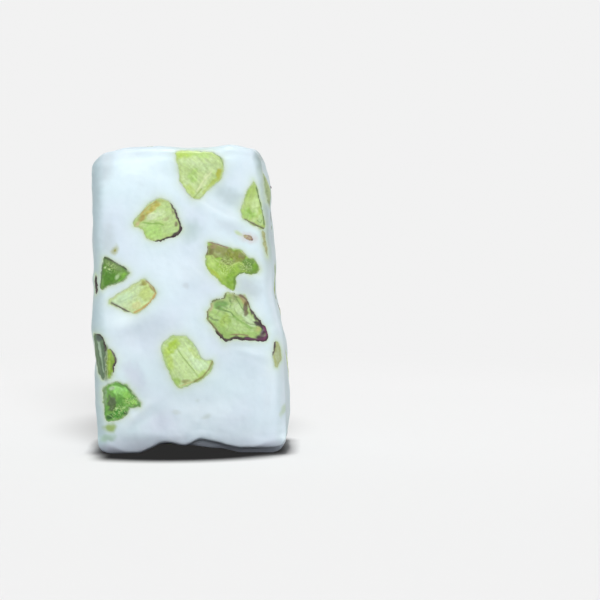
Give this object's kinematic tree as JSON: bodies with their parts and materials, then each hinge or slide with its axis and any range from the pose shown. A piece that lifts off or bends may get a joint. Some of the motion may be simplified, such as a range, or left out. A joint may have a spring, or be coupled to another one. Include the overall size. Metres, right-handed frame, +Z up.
{
  "type": "nougat bar",
  "caption": "Upright block of white nougat with rounded edges, a chipped foot edge, and green pistachio pieces set flush in every face",
  "frame": {"origin": "middle of the bar's foot, on the surface that it stands on", "axes": "+Z up along the bar's length, -Y out of the broad face that is shown, +X to the right of that face"},
  "size_m": [0.033, 0.021, 0.0508],
  "materials": {
    "nougat": "soft waxy white sugar paste, slightly translucent, with a broad soft sheen",
    "pistachio": "moist broken nut kernel, pale to deep green, with a thin purple-brown skin on its rim"
  },
  "bodies": {
    "root": {"nougat": "nougat", "pistachio_back_1": "pistachio", "pistachio_back_2": "pistachio", "pistachio_back_3": "pistachio", "pistachio_back_4": "pistachio", "pistachio_back_5": "pistachio", "pistachio_back_6": "pistachio", "pistachio_back_7": "pistachio", "pistachio_back_8": "pistachio", "pistachio_edge_left": "pistachio", "pistachio_edge_left_sliver": "pistachio", "pistachio_edge_right_low": "pistachio", "pistachio_edge_right_sliver": "pistachio", "pistachio_edge_right_upper": "pistachio", "pistachio_foot_1": "pistachio", "pistachio_foot_2": "pistachio", "pistachio_front_large": "pistachio", "pistachio_front_left_bud": "pistachio", "pistachio_front_left_dark": "pistachio", "pistachio_front_left_pale": "pistachio", "pistachio_front_low_left": "pistachio", "pistachio_front_low_middle": "pistachio", "pistachio_front_right_wedge": "pistachio", "pistachio_front_top": "pistachio", "pistachio_front_two_tone": "pistachio", "pistachio_front_upper_left": "pistachio", "pistachio_left_1": "pistachio", "pistachio_left_2": "pistachio", "pistachio_left_3": "pistachio", "pistachio_left_4": "pistachio", "pistachio_left_5": "pistachio", "pistachio_right_1": "pistachio", "pistachio_right_2": "pistachio", "pistachio_right_3": "pistachio", "pistachio_right_4": "pistachio", "pistachio_right_5": "pistachio", "pistachio_upper_end_1": "pistachio", "pistachio_upper_end_2": "pistachio"}
  },
  "joints": []
}
